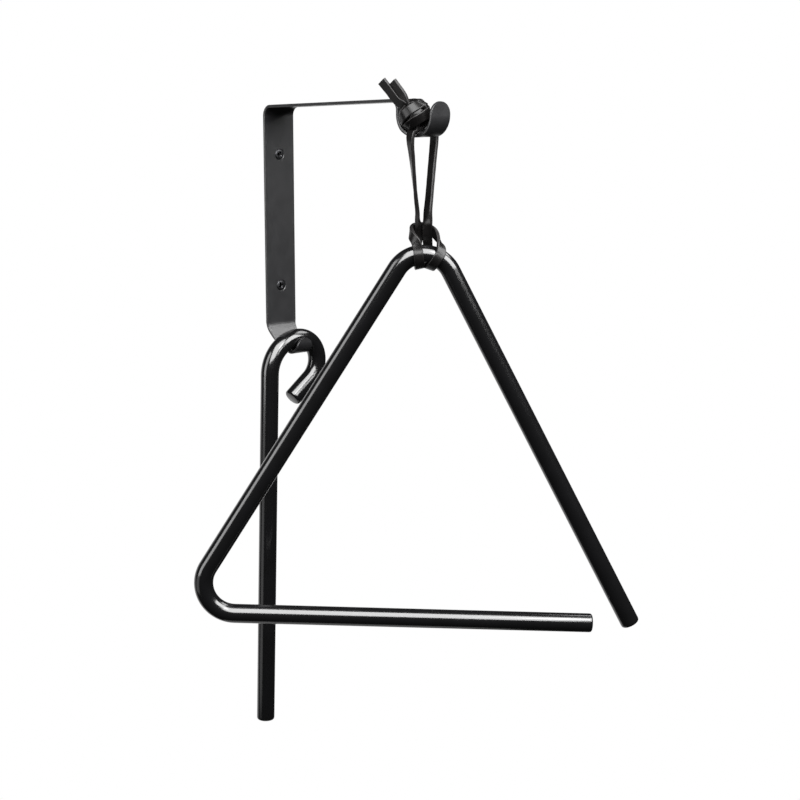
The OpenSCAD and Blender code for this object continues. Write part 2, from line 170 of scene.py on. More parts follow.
def tidyMesh(mesh, sharpAngle=math.radians(32)):
    # Merges doubles, turns faces outwards and keeps only real edges sharp
    work = bmesh.new()
    work.from_mesh(mesh)
    bmesh.ops.remove_doubles(work, verts=work.verts, dist=1e-7)
    bmesh.ops.recalc_face_normals(work, faces=work.faces)
    for face in work.faces:
        face.smooth = True
    for edge in work.edges:
        edge.smooth = len(edge.link_faces) == 2 and edge.calc_face_angle() < sharpAngle
    work.to_mesh(mesh)
    work.free()
    return mesh


def sweptMesh(name, rings, finish, looped=False, marks=None):
    # Skins a row of rings; marks holds a named number for each point of each ring
    count = len(rings[0])
    rows = len(rings)
    points = [point for ring in rings for point in ring]
    faces = []
    for i in range(rows if looped else rows - 1):
        a = i * count
        b = (i + 1) % rows * count
        for k in range(count):
            n = (k + 1) % count
            faces.append((a + k, a + n, b + n, b + k))
    if not looped:
        faces.append(tuple(range(count)))
        faces.append(tuple(range((rows - 1) * count, rows * count)))
    mesh = bpy.data.meshes.new(name)
    mesh.from_pydata(points, [], faces)
    mesh.materials.append(finish)
    for key, values in (marks or {}).items():
        layer = mesh.attributes.new(key, "FLOAT", "POINT")
        layer.data.foreach_set("value", values)
    return mesh


def evaluated(thing):
    depsgraph = bpy.context.evaluated_depsgraph_get()
    return bpy.data.meshes.new_from_object(thing.evaluated_get(depsgraph), depsgraph=depsgraph)


def newObject(name, mesh):
    thing = bpy.data.objects.new(name, mesh)
    scene.collection.objects.link(thing)
    return thing


def carved(mesh, cutter):
    # Takes one mesh out of another
    whole = newObject("whole", mesh)
    tool = newObject("tool", cutter)
    cut = whole.modifiers.new("cut", "BOOLEAN")
    cut.operation = "DIFFERENCE"
    cut.solver = "EXACT"
    cut.object = tool
    left = evaluated(whole)
    bpy.data.objects.remove(whole)
    bpy.data.objects.remove(tool)
    return left


def joined(name, *meshes):
    work = bmesh.new()
    for mesh in meshes:
        work.from_mesh(mesh)
    whole = bpy.data.meshes.new(name)
    work.to_mesh(whole)
    work.free()
    whole.materials.append(meshes[0].materials[0])
    return whole


def grownMesh(name, seedMesh, tree, inputs):
    # Runs a node tree on a seed mesh and keeps the outcome as a plain mesh
    seed = newObject(name + "Seed", seedMesh)
    grow = seed.modifiers.new("grow", "NODES")
    grow.node_group = tree
    for socket in tree.interface.items_tree:
        if socket.in_out == "INPUT" and socket.name in inputs:
            grow[socket.identifier] = inputs[socket.name]
    mesh = evaluated(seed)
    bpy.data.objects.remove(seed)
    return mesh


def newTree(name, inputs):
    tree = bpy.data.node_groups.new(name, "GeometryNodeTree")
    for key, kind in inputs.items():
        tree.interface.new_socket(key, in_out="INPUT", socket_type=kind)
    tree.interface.new_socket("Made", in_out="OUTPUT", socket_type="NodeSocketGeometry")
    return tree, addNode(tree, "NodeGroupInput").outputs


def closeTree(tree, made, finish):
    real = addNode(tree, "GeometryNodeRealizeInstances", links={"Geometry": made})
    painted = addNode(tree, "GeometryNodeSetMaterial", {"Material": finish},
                      {"Geometry": real.outputs["Geometry"]})
    addNode(tree, "NodeGroupOutput", links={"Made": painted.outputs["Geometry"]})
    return tree


def addPiece(name, mesh, body, slot, *nodes):
    piece = newObject(name, tidyMesh(mesh))
    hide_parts(*nodes)
    if body:
        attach(piece, body)
    return piece


def runStops(run, start=(0.0, 0.0), heading=0.0, arcStep=math.radians(3), lineSteps=4, tipSteps=24):
    # Follows lines and bends in a plane; a positive turn is to the left. A tip is a line
    # whose stops crowd towards its end. Each stop is (place, heading).
    at = Vector(start)
    stops = [(at.copy(), heading)]
    for kind, *sizes in run:
        ahead = Vector((math.cos(heading), math.sin(heading)))
        if kind == "bend":
            radius, turn = sizes
            side = math.copysign(radius, turn)
            middle = at + side * Vector((-ahead.y, ahead.x))
            steps = math.ceil(abs(turn) / arcStep)
            for i in range(1, steps + 1):
                angle = heading + turn * i / steps
                stops.append((middle + side * Vector((math.sin(angle), -math.cos(angle))), angle))
            heading += turn
        else:
            steps = tipSteps if kind == "tip" else lineSteps
            for i in range(1, steps + 1):
                share = 1 - (1 - i / steps) ** 2 if kind == "tip" else i / steps
                stops.append((at + sizes[0] * share * ahead, heading))
        at = stops[-1][0].copy()
    return stops


# Bent round bar: the triangle and its striker

bar = {"radius": 6.5 * mm, "chamfer": 1.0 * mm, "sides": 48,
       "endShares": ((1.0, 0.8), (0.9, 0.845), (0.6, 0.915), (0.2, 0.967), (-0.4, 0.992), (-1.2, 1.0))}


def barTree():
    # A ring follows the centreline, drawn in at the ends by the line's own girth
    tree, given = newTree("bentBar", {"Centreline": "NodeSocketGeometry", "Bar Radius": "NodeSocketFloat",
                                      "Sides": "NodeSocketInt"})
    girth = addNode(tree, "GeometryNodeInputNamedAttribute", {"Name": "girth"}, data_type="FLOAT")
    line = addNode(tree, "GeometryNodeMeshToCurve", links={"Mesh": given["Centreline"]})
    ring = addNode(tree, "GeometryNodeCurvePrimitiveCircle",
                   links={"Resolution": given["Sides"], "Radius": given["Bar Radius"]})
    skin = addNode(tree, "GeometryNodeCurveToMesh", {"Fill Caps": True},
                   {"Curve": line.outputs["Curve"], "Profile Curve": ring.outputs["Curve"],
                    "Scale": girth.outputs["Attribute"]})
    return closeTree(tree, skin.outputs["Mesh"], rodCoat)


bentBar = barTree()


def barMesh(name, run, place):
    # The run's own length stops at the chamfers, which are added at both ends
    stops = runStops(run)
    first, start = stops[0]
    last, end = stops[-1]
    line = [place @ stop.to_3d() for stop, heading in stops[1:-1]]
    girths = [1.0] * len(line)
    for share, girth in reversed(bar["endShares"]):
        reach = share * bar["chamfer"]
        line.insert(0, place @ (first - reach * Vector((math.cos(start), math.sin(start)))).to_3d())
        line.append(place @ (last + reach * Vector((math.cos(end), math.sin(end)))).to_3d())
        girths.insert(0, girth)
        girths.append(girth)
    seed = bpy.data.meshes.new(name + "Line")
    seed.from_pydata(line, [(i, i + 1) for i in range(len(line) - 1)], [])
    layer = seed.attributes.new("girth", "FLOAT", "POINT")
    layer.data.foreach_set("value", girths)
    return grownMesh(name, seed, bentBar, {"Bar Radius": bar["radius"], "Sides": bar["sides"]})


triangle = {"side": 312 * mm, "apex": math.radians(59.6), "corner": math.radians(60.3),
            "bend": 20.6 * mm, "cornerBend": 21.6 * mm, "bottomShort": 27.3 * mm, "rightShort": 0.3 * mm,
            "yaw": math.radians(38), "tilt": math.radians(2.6)}
upright = Matrix.Rotation(math.radians(90), 4, "X")
halfApex = triangle["apex"] / 2
apexRise = triangle["bend"] / math.sin(halfApex)
leftSide = triangle["side"] * math.sin(triangle["apex"] + triangle["corner"]) / math.sin(triangle["corner"])
bottomSide = triangle["side"] * math.sin(triangle["apex"]) / math.sin(triangle["corner"])
bendRun = triangle["bend"] / math.tan(halfApex)
cornerRun = triangle["cornerBend"] / math.tan(triangle["corner"] / 2)
rightLeg = triangle["side"] - triangle["rightShort"] - bar["chamfer"]
# The apex bend's middle is where the triangle rocks in its hitch
trianglePlace = (Matrix.Translation(jointAt["bell_rock"])
                 @ Matrix.Rotation(-triangle["yaw"], 4, "Z") @ upright
                 @ Matrix.Rotation(-triangle["tilt"], 4, "Z")
                 @ Matrix.Translation((rightLeg * math.sin(halfApex),
                                       apexRise - rightLeg * math.cos(halfApex), 0))
                 @ Matrix.Rotation(math.radians(90) + halfApex, 4, "Z"))
triangleRun = [("line", rightLeg - bendRun), ("bend", triangle["bend"], math.pi - triangle["apex"]),
               ("line", leftSide - bendRun - cornerRun),
               ("bend", triangle["cornerBend"], math.pi - triangle["corner"]),
               ("line", bottomSide - cornerRun - triangle["bottomShort"] - bar["chamfer"])]
triangleBar = barMesh("triangleBar", triangleRun, trianglePlace)
addPiece("triangleBar", triangleBar, "bell", "coated_rod", "triangle")

striker = {"shaft": 258.8 * mm, "crook": 25.6 * mm, "crookEnd": 17.4 * mm, "crookTurn": math.radians(140),
           "tail": 21.4 * mm, "tilt": math.radians(1.9), "crookTop": Vector((0.7, 0, 2.1126)) * mm}
strikerDrop = striker["crook"] + striker["shaft"] - bar["chamfer"]
strikerPlace = (Matrix.Translation(jointAt["striker_swing"] + striker["crookTop"])
                @ upright @ Matrix.Rotation(-striker["tilt"], 4, "Z")
                @ Matrix.Translation((-striker["crook"], -strikerDrop, 0))
                @ Matrix.Rotation(math.radians(90), 4, "Z"))
strikerRun = [("line", striker["shaft"] - bar["chamfer"]),
              ("bend", striker["crook"], -math.radians(90)),
              ("bend", striker["crookEnd"], -striker["crookTurn"]),
              ("line", striker["tail"] - bar["chamfer"])]
strikerBar = barMesh("strikerBar", strikerRun, strikerPlace)
addPiece("strikerBar", strikerBar, "beater", "coated_rod", "striker")
print("bars bent")


# Wall bracket: one strip of flat bar, bent in the plane across the wall

strap = {"halfWidth": 13.1 * mm, "halfThickness": 1.0 * mm, "bulge": 1.8 * mm, "corner": 0.12 * mm,
         "edgeSteps": 4, "cornerSteps": 2, "edgeShare": 0.9,
         "armZ": 81.7 * mm, "armRise": math.radians(2.5), "armBend": 7 * mm,
         "shoulder": 6 * mm, "shoulderDrop": 2.7 * mm, "hook": 13.6 * mm, "bowlHalf": 10 * mm,
         "taper": 10 * mm, "narrowing": 1 / 3, "tongue": 9 * mm, "tongueHalf": 8.5 * mm,
         "tongueLean": math.radians(2),
         "footZ": -73.23 * mm, "footKick": math.radians(45), "footBend": 10 * mm, "kick": 15.73 * mm,
         "neck": 3.25 * mm, "neckHalf": 11.79 * mm, "cradle": 8.05 * mm, "cradleHalf": 7 * mm, "lip": 3 * mm}
hookU, hookZ = -jointAt["bell_swing"].y, jointAt["bell_swing"].z
cradleU, cradleZ = -jointAt["striker_swing"].y, jointAt["striker_swing"].z


def tipHalf(z, tipZ, half, mostRise=0.9995):
    # Half width of a strap that ends in a half round at tipZ, left a hair blunt
    rise = min(max(z - (tipZ - half), 0.0), half * mostRise)
    return math.sqrt(half * half - rise * rise)


def strapHalf(u, z):
    # Half width at a distance from the wall and a height
    bowlZ = hookZ - strap["hook"] - strap["halfThickness"]
    if u > hookU:
        narrow = min((z - bowlZ) / (strap["narrowing"] * strap["hook"]), 1.0)
        tipZ = (hookZ - strap["hook"] * math.sin(strap["tongueLean"])
                + strap["tongue"] * math.cos(strap["tongueLean"]))
        return min(strap["bowlHalf"] + (strap["tongueHalf"] - strap["bowlHalf"]) * narrow,
                   tipHalf(z, tipZ, strap["tongueHalf"]))
    if u > hookU - strap["taper"] and z < hookZ:
        return strap["bowlHalf"] + (strap["halfWidth"] - strap["bowlHalf"]) * (hookU - u) / strap["taper"]
    if cradleZ < z < strap["footZ"] and u <= cradleU:
        share = (strap["footZ"] - z) / (strap["footZ"] - cradleZ)
        return strap["halfWidth"] + (strap["neckHalf"] - strap["halfWidth"]) * share
    if z < strap["footZ"] and u <= cradleU:
        share = min((cradleZ - z) / strap["neck"], 1.0)
        return strap["neckHalf"] + (strap["cradleHalf"] - strap["neckHalf"]) * share
    if z < strap["footZ"]:
        return tipHalf(z, cradleZ + strap["lip"], strap["cradleHalf"])
    return strap["halfWidth"]


def rolledSection(halfWidth, halfThickness, hold=0.03 * mm):
    # Outline of rolled flat bar, whose edges bulge between close corners and fit in its narrow tips
    bulge, corner = strap["bulge"], strap["corner"]
    lean = math.asin((halfThickness - corner) / (bulge - corner))
    inset = bulge - (bulge - corner) * math.cos(lean)
    quarter = []
    for i in range(strap["edgeSteps"] + 1):
        turn = lean * i / strap["edgeSteps"]
        quarter.append((bulge * (1 - math.cos(turn)), bulge * math.sin(turn)))
    for i in range(1, strap["cornerSteps"] + 1):
        turn = lean + (math.pi / 2 - lean) * i / strap["cornerSteps"]
        quarter.append((inset - corner * math.cos(turn), halfThickness - corner * (1 - math.sin(turn))))
    quarter.append((inset + hold, halfThickness))
    fit = min(1.0, strap["edgeShare"] * halfWidth / (inset + hold))
    quarters = []
    for across, through in ((1, 1), (-1, 1), (-1, -1), (1, -1)):
        quarters.append([Vector((across * (halfWidth - fit * x), through * y)) for x, y in quarter])
    return quarters[0] + quarters[1][::-1] + quarters[2][1:] + quarters[3][:0:-1]


def strapMesh():
    half = strap["halfThickness"]
    rise = strap["armRise"]
    armStart = half + strap["armBend"] * (1 - math.sin(rise))
    armEnd = hookU - strap["hook"] - strap["shoulder"] * (1 + math.sin(rise))
    plateTop = strap["armZ"] - strap["armBend"] * math.cos(rise)
    foot = (half, strap["footZ"])
    upper = runStops([("line", plateTop - strap["footZ"]),
                      ("bend", strap["armBend"], rise - math.radians(90)),
                      ("line", (armEnd - armStart) / math.cos(rise)),
                      ("bend", strap["shoulder"], -math.radians(90) - rise),
                      ("line", strap["shoulderDrop"]),
                      ("bend", strap["hook"], math.radians(180) - strap["tongueLean"]),
                      ("tip", strap["tongue"])], foot, math.radians(90))
    lower = runStops([("bend", strap["footBend"], strap["footKick"]),
                      ("line", strap["kick"]),
                      ("bend", strap["cradle"], math.radians(180) - strap["footKick"]),
                      ("tip", strap["lip"])], foot, -math.radians(90))
    stops = [(place, heading + math.pi) for place, heading in reversed(lower[1:])] + upper
    rings = []
    for place, heading in stops:
        wide = strapHalf(place.x, place.y)
        through = Vector((-math.sin(heading), math.cos(heading)))
        section = rolledSection(wide, half)
        sides = [(across, place + depth * through) for across, depth in section]
        rings.append([Vector((across, -side.x, side.y)) for across, side in sides])
    return sweptMesh("strapBar", rings, strapCoat)


# Screws, which stand in countersunk holes

screw = {"pitch": 94.6 * mm, "head": 4.15 * mm, "lean": math.tan(math.radians(41)), "shank": 2.1 * mm,
         "core": 1.55 * mm, "runout": 0.4 * mm, "threadFrom": 5 * mm, "pointFrom": 12 * mm, "end": 17 * mm,
         "point": 0.2 * mm, "ridge": 0.42 * mm, "coreTurns": 4.2, "pointTurns": 2.7,
         "ridgeEnd": 0.3 * mm, "ridgeShort": 0.5 * mm, "seat": 0.05 * mm, "seatDepth": 3 * mm,
         "above": 1 * mm, "recessLong": 2.3 * mm, "recessWide": 0.65 * mm, "turns": {1: 20, -1: 65},
         "crown": ((0, 0.85 * mm), (0.06 * mm, 0.74 * mm), (0.45 * mm, 0.45 * mm)),
         "recess": ((-0.3 * mm, 1.05), (1.6 * mm, 0.5))}
screwFace = -2 * strap["halfThickness"]


def turnedMesh(name, profile, finish, sides=40):
    # Turns (depth, radius) about an axis that runs into the wall from the screw's face
    angles = [2 * math.pi * k / sides for k in range(sides)]
    rings = []
    for depth, radius in profile:
        rings.append([Vector((radius * math.cos(a), screwFace + depth, radius * math.sin(a)))
                      for a in angles])
    return sweptMesh(name, rings, finish)


def seatMesh():
    wide = screw["head"] + screw["seat"]
    narrow = wide - screw["seatDepth"] * screw["lean"]
    profile = [(-screw["above"], wide), (0, wide), (screw["seatDepth"], narrow)]
    return turnedMesh("seat", profile, strapCoat)


def recessMesh():
    # One bar of the cross recess, which narrows with depth
    rings = []
    for depth, share in screw["recess"]:
        along = screw["recessLong"] * share
        across = screw["recessWide"] * (0.5 + 0.5 * share)
        corners = ((along, across), (-along, across), (-along, -across), (along, -across))
        rings.append([Vector((x, screwFace + depth, z)) for x, z in corners])
    return sweptMesh("recess", rings, screwOxide)


def threadTree():
    # A ridge wound on the screw's core
    tree, given = newTree("screwThread", {"Seed": "NodeSocketGeometry", "Turns": "NodeSocketFloat",
                                          "Start Radius": "NodeSocketFloat", "End Radius": "NodeSocketFloat",
                                          "Length": "NodeSocketFloat", "Ridge": "NodeSocketFloat"})
    winding = addNode(tree, "GeometryNodeCurveSpiral", {"Resolution": 28},
                      {"Rotations": given["Turns"], "Start Radius": given["Start Radius"],
                       "End Radius": given["End Radius"], "Height": given["Length"]})
    ridge = addNode(tree, "GeometryNodeCurvePrimitiveCircle", {"Resolution": 4}, {"Radius": given["Ridge"]})
    skin = addNode(tree, "GeometryNodeCurveToMesh", {"Fill Caps": True},
                   {"Curve": winding.outputs["Curve"], "Profile Curve": ridge.outputs["Curve"]})
    return closeTree(tree, skin.outputs["Mesh"], screwOxide)


screwThread = threadTree()


def screwMesh(side):
    head, shank, core = screw["head"], screw["shank"], screw["core"]
    coneEnd = (head - shank) / screw["lean"]
    profile = [(depth, head - inset) for depth, inset in screw["crown"]]
    profile += [(coneEnd, shank), (screw["threadFrom"] - screw["runout"], shank),
                (screw["threadFrom"], core), (screw["pointFrom"], core), (screw["end"], screw["point"])]
    body = turnedMesh("screw", profile, screwOxide)
    for turn in (0, 90):
        recess = recessMesh()
        recess.transform(Matrix.Rotation(math.radians(screw["turns"][side] + turn), 4, "Y"))
        body = carved(body, recess)
    parts = [body]
    ridgeStop = screw["end"] - screw["ridgeShort"]
    windings = ((screw["threadFrom"], screw["pointFrom"], core, screw["coreTurns"]),
                (screw["pointFrom"], ridgeStop, screw["ridgeEnd"], screw["pointTurns"]))
    for start, end, endRadius, turns in windings:
        winding = grownMesh("thread", bpy.data.meshes.new("threadSeed"), screwThread,
                            {"Turns": turns, "Start Radius": core, "End Radius": endRadius,
                             "Length": end - start, "Ridge": screw["ridge"]})
        winding.transform(Matrix.Translation((0, screwFace + start, 0))
                          @ Matrix.Rotation(-math.radians(90), 4, "X"))
        parts.append(winding)
    whole = joined("wallScrew", *parts)
    whole.transform(Matrix.Translation((0, 0, side * screw["pitch"] / 2)))
    return whole


strapBar = strapMesh()
for side in (1, -1):
    seat = seatMesh()
    seat.transform(Matrix.Translation((0, 0, side * screw["pitch"] / 2)))
    strapBar = carved(strapBar, seat)
addPiece("strapBar", strapBar, "bracket", "coated_strap", "wall_bracket")
addPiece("screwUpper", screwMesh(1), "bracket", "screw_steel", "wall_screw_upper")
addPiece("screwLower", screwMesh(-1), "bracket", "screw_steel", "wall_screw_lower")
print("bracket and screws made")


# Lace: one flat strip from the knot, through the hitch and back to the knot. Each stop on its
# route is (place, way that the flat side faces); places on the routes are in millimetres.

lace = {"halfWidth": 3.2 * mm, "halfThickness": 1.2 * mm, "corner": 0.55 * mm, "parts": 5, "seed": 3.0,
        "unevenSide": 0.16 * mm, "unevenDepth": 0.1 * mm, "unevenLength": 5 * mm,
        "cutFrom": 0.86, "cutFade": 0.12}
bowl = jointAt["bell_swing"]
bowlIn = (strap["hook"] - strap["halfThickness"]) / mm
bowlOut = (strap["hook"] + strap["halfThickness"]) / mm
edgeX = strap["halfWidth"] / mm


def flatSection(halfWidth, halfThickness, corner, steps=3, hold=0.03 * mm):
    # Outline of a flat strip with rounded corners, as (across, through); the points that
    # hold each flat keep its shading even
    outline = []
    for across, through, turn in ((1, 1, 0), (-1, 1, 90), (-1, -1, 180), (1, -1, 270)):
        middle = Vector((across * (halfWidth - corner), through * (halfThickness - corner)))
        angles = [math.radians(turn + 90 * i / steps) for i in range(steps + 1)]
        arc = [middle + corner * Vector((math.cos(a), math.sin(a))) for a in angles]
        ahead = [Vector((-math.sin(a), math.cos(a))) for a in angles]
        outline += [arc[0] - hold * ahead[0], *arc, arc[-1] + hold * ahead[-1]]
    return outline


def smoothed(stops, parts):
    # A smooth line through the stops, evenly paced however far apart they are
    line = []
    last = len(stops) - 1
    gaps = [(stops[i + 1][0] - stops[i][0]).length for i in range(last)]
    leans = []
    for i in range(last + 1):
        before, after = max(i - 1, 0), min(i, last - 1)
        pulls = []
        for k in (0, 1):
            slopeBefore = (stops[before + 1][k] - stops[before][k]) / gaps[before]
            slopeAfter = (stops[after + 1][k] - stops[after][k]) / gaps[after]
            share = gaps[before] / (gaps[before] + gaps[after])
            pulls.append(slopeBefore * (1 - share) + slopeAfter * share)
        leans.append(pulls)
    for i in range(last):
        for j in range(parts):
            t = j / parts
            stop = []
            for k in (0, 1):
                stop.append(stops[i][k] * (1 + 2 * t) * (1 - t) ** 2 + stops[i + 1][k] * t * t * (3 - 2 * t)
                            + gaps[i] * (leans[i][k] * t * (1 - t) ** 2 - leans[i + 1][k] * t * t * (1 - t)))
            line.append(stop)
    line.append(stops[last])
    return line


def laceRings(stops, seed):
    # Rings of an uneven hide strip along its route, and how near each point is to a cut edge
    rings = []
    edges = []
    last = len(stops) - 1
    for i, (place, face) in enumerate(stops):
        ahead = (stops[min(i + 1, last)][0] - stops[max(i - 1, 0)][0]).normalized()
        out = (face - face.dot(ahead) * ahead).normalized()
        across = out.cross(ahead)
        spot = place / lace["unevenLength"]
        side = lace["unevenSide"] * noise.noise(spot + Vector((seed, 0, 0)))
        depth = lace["unevenDepth"] * noise.noise(spot + Vector((0, seed, 0)))
        outline = flatSection(lace["halfWidth"] + side, lace["halfThickness"] + depth, lace["corner"])
        rings.append([place + x * across + y * out for x, y in outline])
        for x, y in outline:
            share = (abs(x) / lace["halfWidth"] - lace["cutFrom"]) / lace["cutFade"]
            edges.append(min(max(share, 0.0), 1.0))
    return rings, edges


def inMetres(stops, origin):
    return [(origin + Vector(place) * mm, Vector(face)) for place, face in stops]


def facing(turn):
    return (math.cos(math.radians(turn)), math.sin(math.radians(turn)), 0)


# Hitch, drawn about the middle of the apex bend: across the triangle, towards the viewer and up
hitch = {"bend": triangle["bend"] / mm, "rod": bar["radius"] / mm, "wrap": 8.2, "wrapSteps": 12,
         "wrapStart": -65, "wrapSweep": 230}
rodTop = hitch["bend"] + hitch["rod"]
hitchPlace = Matrix.Rotation(-triangle["yaw"], 3, "Z") @ Matrix.Diagonal((1, -1, 1))


def wrapStops(back, under, front):
    # One wrap: behind the rod, under it and up in front
    stops = []
    for i in range(hitch["wrapSteps"] + 1):
        share = i / hitch["wrapSteps"]
        start, end, part = (back, under, 2 * share) if share < 0.5 else (under, front, 2 * share - 1)
        bend = math.radians(start + (end - start) * part)
        turn = math.radians(hitch["wrapStart"] - hitch["wrapSweep"] * share)
        out = Vector((math.sin(bend), 0, math.cos(bend)))
        face = out * math.cos(turn) + Vector((0, 1, 0)) * math.sin(turn)
        stops.append((hitch["bend"] * out + hitch["wrap"] * face, face))
    return stops


def onRod(stops):
    return [(Vector((x, y, rodTop + z)), Vector(face)) for (x, y, z), face in stops]


downLeft = onRod([((-3.6, -2.5, 16.2), (-0.97, -0.25, 0)), ((-3.1, -2.7, 13), (-0.9, -0.45, 0)),
                  ((-2.7, -3.6, 10), (-0.6, -0.8, 0))])
downRight = onRod([((3.2, -2.3, 16.2), (0.64, -0.77, 0)), ((3.0, -2.3, 13), (0.45, -0.9, 0)),
                   ((2.9, -2.8, 10), (0, -1, 0))])
hitchBar = onRod([((-5.2, 6.3, 2.4), (-0.3, 0.95, 0)), ((-7.6, 2.6, 6.2), (-0.8, 0.6, 0)),
                  ((-7.3, -2.8, 9), (-1, -0.3, 0)), ((-4.4, -7.6, 10.6), (-0.5, -0.85, 0)),
                  ((0, -9, 10.8), (0, -1, 0)), ((3.4, -8.2, 10), (0, -1, 0)), ((7, -5, 7.8), (0.7, -0.7, 0)),
                  ((9.8, 0, 3.8), (1, 0, 0)), ((11.4, 4.8, -1), (0.6, 0.8, 0.2))])
leftWrap = wrapStops(-9, -12, -9)
rightWrap = wrapStops(9, 19, 27)
hitchStops = downLeft + leftWrap + hitchBar + rightWrap[::-1] + downRight[::-1]
hitchRoute = [(jointAt["bell_rock"] + hitchPlace @ place * mm, hitchPlace @ face)
              for place, face in hitchStops]


fall = {"aboveHitch": Vector((0, 0, 3.8)), "belowBowl": 2.4, "twistTop": Vector((0, 0, -18))}
fallTop = -bowlOut - fall["belowBowl"]


def strandFall(top, end, turns):
    # Straight down from the hook to just above the hitch, turning on the way
    top = bowl + Vector(top) * mm
    end = end + fall["aboveHitch"] * mm
    last = len(turns) - 1
    return [(top.lerp(end, i / last), Vector(facing(turn))) for i, turn in enumerate(turns)]


# The right strand first lies in the bowl, on its way to the far edge
lay = {"reach": bowlIn - 2.3, "turn": math.radians(40), "stops": (0, 6, edgeX - 1.7)}
layY = lay["reach"] * math.sin(lay["turn"])
layZ = -lay["reach"] * math.cos(lay["turn"])
layFace = (0, -math.sin(lay["turn"]), math.cos(lay["turn"]))
layLine = [((-7.6, 3.3, -2.7), layFace), ((-4, 5.5, -6), layFace)]
layLine += [((x, layY, layZ), layFace) for x in lay["stops"]]
leftRoute = inMetres([((-10.5, -2, -5), (-1, 0, -0.2)), ((-10.4, -1, -9.6), (-0.9, 0, 0.3)),
                      ((0.7 - edgeX, -0.4, 1.6 - bowlIn), (-0.7, 0, 0.7)),
                      ((-edgeX - 0.4, -0.5, -1 - bowlIn), facing(180))], bowl)
leftRoute += strandFall((-edgeX - 0.5, -0.5, fallTop), hitchRoute[0][0], (172, 159, 150, 143, 136, 131))
rightRoute = inMetres(layLine + [((edgeX + 1.4, 6.9, 3.9 - bowlIn), (0.7, -0.4, 0.6)),
                                 ((edgeX + 1.5, 7.4, -bowlIn), facing(0))], bowl)
rightRoute += strandFall((edgeX + 1.1, 7.2, fallTop), hitchRoute[-1][0], (2, 0, -2, -3, -1, 5))

laceRoute = smoothed(leftRoute + hitchRoute + rightRoute[::-1], lace["parts"])
rings, edges = laceRings(laceRoute, lace["seed"])
laceStrip = addPiece("laceStrip", sweptMesh("laceStrip", rings, leather, marks={"cutEdge": edges}), None,
                     "lace_leather", "lace_strand_left", "lace_strand_right", "lace_hitch")
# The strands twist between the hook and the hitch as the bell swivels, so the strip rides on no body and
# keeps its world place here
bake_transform(laceStrip)

# Knot: both ends tied as one, drawn tight into a ball of bands that cross each other. Each band is
# (way across it, reach from the ball's middle, place off that middle).
knot = {"middle": bowl + Vector((-7.9, 1.45, -0.4)) * mm, "core": 8.3 * mm, "sides": 24,
        "steps": 96, "sway": 0.7 * mm, "tailSeed": 7.0, "tailFace": (-0.93, -0.2, -0.3),
        "bands": (((-0.64, -0.73, -0.24), 9.2 * mm, 0.8 * mm), ((-0.43, 0.45, 0.77), 9.6 * mm, 3.6 * mm),
                  ((-0.43, 0.45, 0.77), 9.3 * mm, -3.4 * mm), ((0.75, -0.66, 0.0), 8.8 * mm, 0.0)),
        "tails": (((-11, 2.6, 1.4), (-14.5, 3, 5.2), (-17.1, 7.5, 8.3), (-20.2, 12, 14.8),
                   (-23.4, 16.4, 21.3)),
                  ((-11.2, 2.4, 2.2), (-14.6, 2.6, 6.2), (-16.4, 3.9, 11.8), (-18.4, 6.9, 16.7),
                   (-20.1, 9.7, 20.8)))}


def coreMesh():
    rings = []
    spans = [2 * math.pi * k / knot["sides"] for k in range(knot["sides"])]
    for i in range(1, knot["sides"]):
        tilt = math.pi * i / knot["sides"]
        wide = knot["core"] * math.sin(tilt)
        high = knot["core"] * math.cos(tilt)
        rings.append([knot["middle"] + Vector((wide * math.cos(a), wide * math.sin(a), high))
                      for a in spans])
    return sweptMesh("core", rings, leather, marks={"cutEdge": [0.0] * len(rings) * knot["sides"]})


def bandMesh(normal, reach, offset, seed):
    # One closed band round the ball, off its middle, which sways a little to both sides
    up = Vector(normal).normalized()
    first = up.orthogonal().normalized()
    second = up.cross(first)
    lean = math.asin(offset / reach)
    stops = []
    for i in range(-1, knot["steps"] + 1):
        t = 2 * math.pi * i / knot["steps"]
        out = (first * math.cos(t) + second * math.sin(t)) * math.cos(lean) + up * math.sin(lean)
        sway = knot["sway"] * math.sin(2 * t + seed)
        stops.append((knot["middle"] + reach * out + sway * up, out))
    rings, edges = laceRings(stops, seed)
    around = len(rings[0])
    return sweptMesh("band", rings[1:-1], leather, looped=True, marks={"cutEdge": edges[around:-around]})


knotParts = [coreMesh()] + [bandMesh(*band, i + 1.0) for i, band in enumerate(knot["bands"])]
for i, stops in enumerate(knot["tails"]):
    route = smoothed(inMetres([(stop, knot["tailFace"]) for stop in stops], bowl), lace["parts"])
    rings, edges = laceRings(route, knot["tailSeed"] + i)
    knotParts.append(sweptMesh("tail", rings, leather, marks={"cutEdge": edges}))
addPiece("laceKnot", joined("laceKnot", *knotParts), "lace", "lace_leather", "lace_knot")


# Studio

